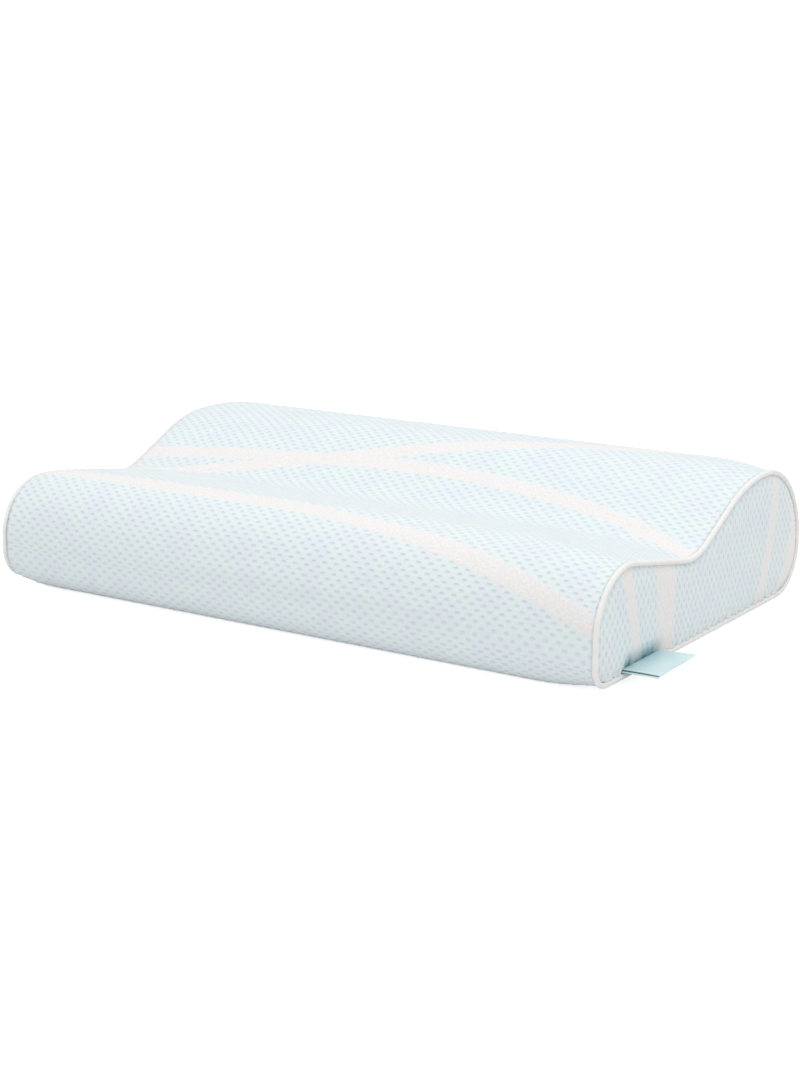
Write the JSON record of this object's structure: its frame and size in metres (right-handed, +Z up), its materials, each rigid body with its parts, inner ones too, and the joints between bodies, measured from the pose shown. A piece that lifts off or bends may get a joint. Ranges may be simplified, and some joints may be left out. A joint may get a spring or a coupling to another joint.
{
  "type": "cervical pillow",
  "caption": "Contour pillow for the neck: low front lobe, neck hollow and higher head lobe in a dimpled knit cover with piped end seams and a blank ribbon tab.",
  "frame": {"origin": "middle of the flat underside", "axes": "+Z up, +X along the pillow to the end with the tab, the low front lobe faces -Y"},
  "size_m": [0.5303, 0.3239, 0.1089],
  "materials": {
    "wrap_knit": "soft dimpled knit, pale ice blue with off-white curved bands, matt",
    "end_knit": "the same dimpled knit turned a quarter turn, matt",
    "piping_cloth": "off-white woven tape over cord, slight sheen",
    "tab_ribbon": "pale turquoise satin ribbon, soft sheen"
  },
  "bodies": {
    "root": {"pillow_body": "wrap_knit", "end_panel_right": "end_knit", "end_panel_left": "end_knit", "piping_right": "piping_cloth", "piping_left": "piping_cloth", "side_tab": "tab_ribbon"}
  },
  "joints": []
}
